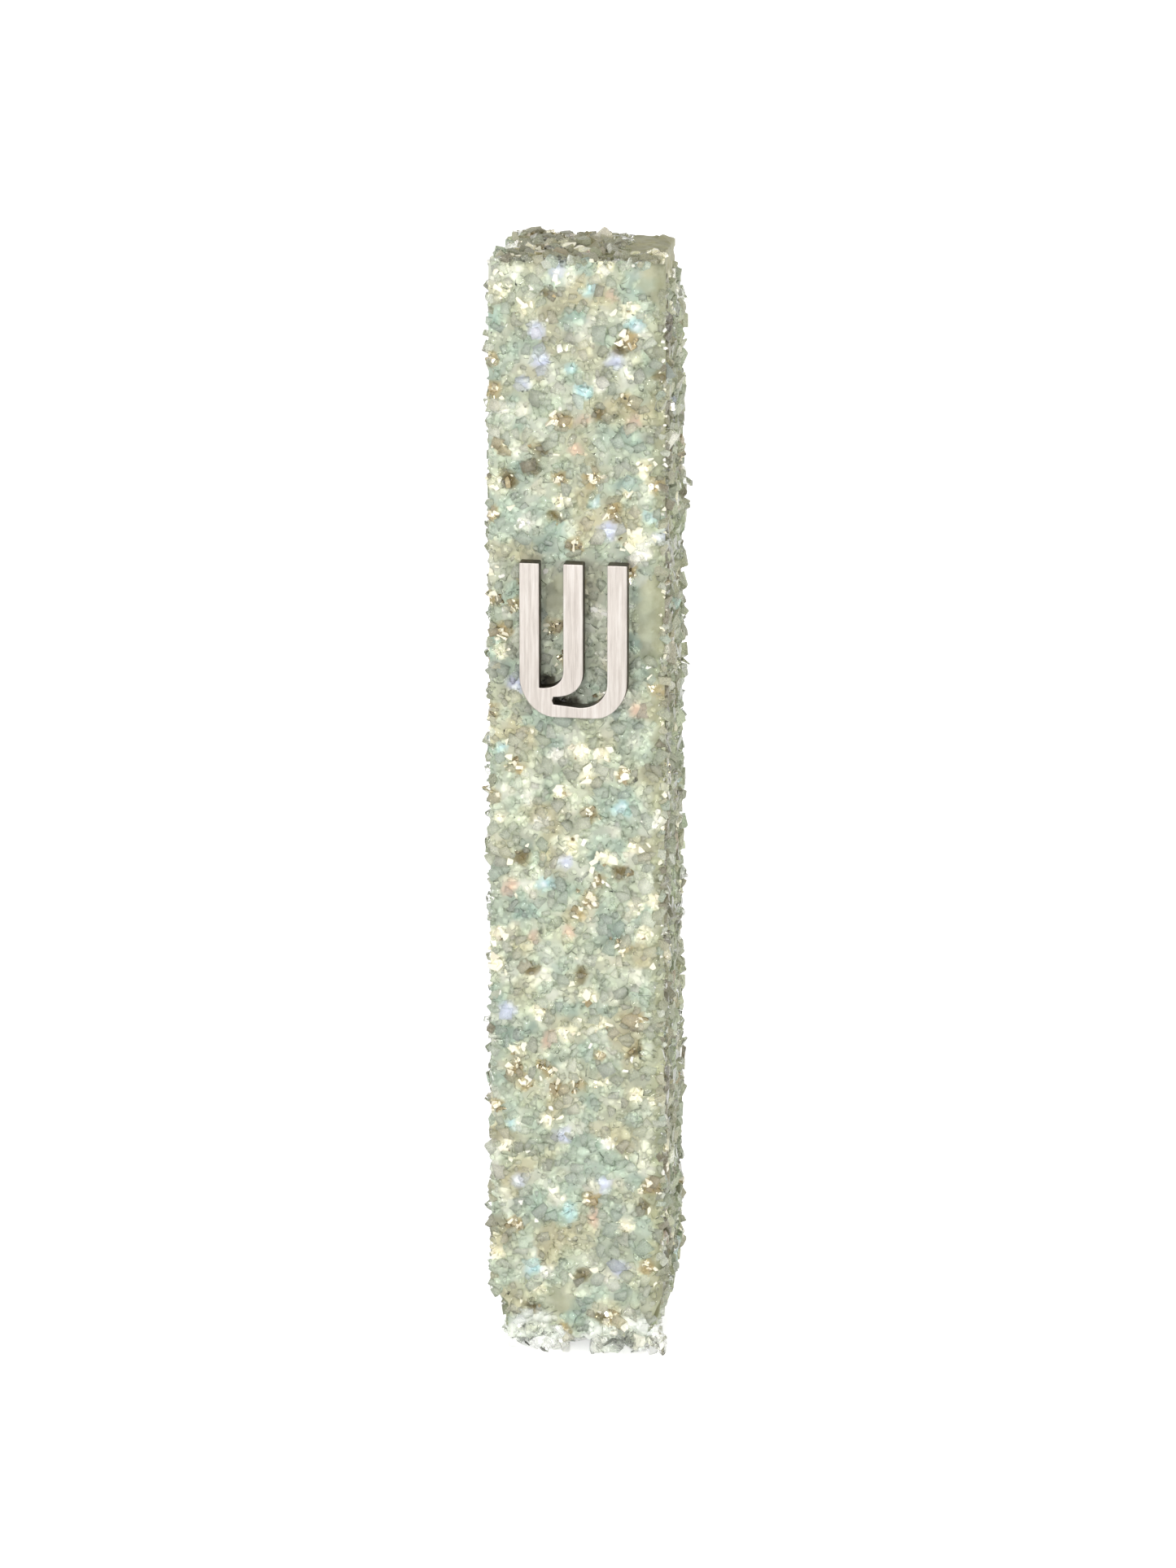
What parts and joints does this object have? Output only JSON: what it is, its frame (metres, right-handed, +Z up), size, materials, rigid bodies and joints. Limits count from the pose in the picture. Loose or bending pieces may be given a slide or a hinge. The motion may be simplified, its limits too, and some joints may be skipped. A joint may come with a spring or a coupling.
{
  "type": "mezuzah case",
  "caption": "Slim box-shaped mezuzah case coated in crushed glass, with a raised steel letter shin, lifting off a grooved plate that stays on the doorpost.",
  "frame": {"origin": "centre of the face that meets the doorpost, on the middle foam tape pad", "axes": "+Z up along the case, +Y into the doorpost (the letter faces -Y), +X to the right as seen from the front"},
  "size_m": [0.0234, 0.0261, 0.15],
  "materials": {
    "acrylic": "clear, green-tinted, glossy",
    "crushed_glass": "crushed glass chips in clear resin: mint, gold, white and iridescent",
    "brushed_steel": "brushed lengthwise",
    "adhesive": "matte black",
    "plate_acrylic": "frosted white acrylic",
    "foam_tape": "matte closed-cell foam",
    "parchment": "matte, blank",
    "clear_film": "clear film"
  },
  "bodies": {
    "post_plate": {"back_plate": "plate_acrylic", "upper_tape_pad": "foam_tape", "middle_tape_pad": "foam_tape", "lower_tape_pad": "foam_tape"},
    "case": {"front_panel": "acrylic", "left_panel": "acrylic", "right_panel": "acrylic", "top_panel": "acrylic", "bottom_panel": "acrylic", "front_glass_coat": "crushed_glass", "left_glass_coat": "crushed_glass", "right_glass_coat": "crushed_glass", "top_glass_coat": "crushed_glass", "bottom_glass_coat": "crushed_glass", "shin_letter": "brushed_steel", "letter_pad": "adhesive", "scroll": "parchment", "scroll_sleeve": "clear_film"}
  },
  "joints": [
    {"name": "case_slide", "type": "slide", "parent": "post_plate", "child": "case", "axis": [0, 0, 1], "range_m": [0, 0.14]}
  ]
}
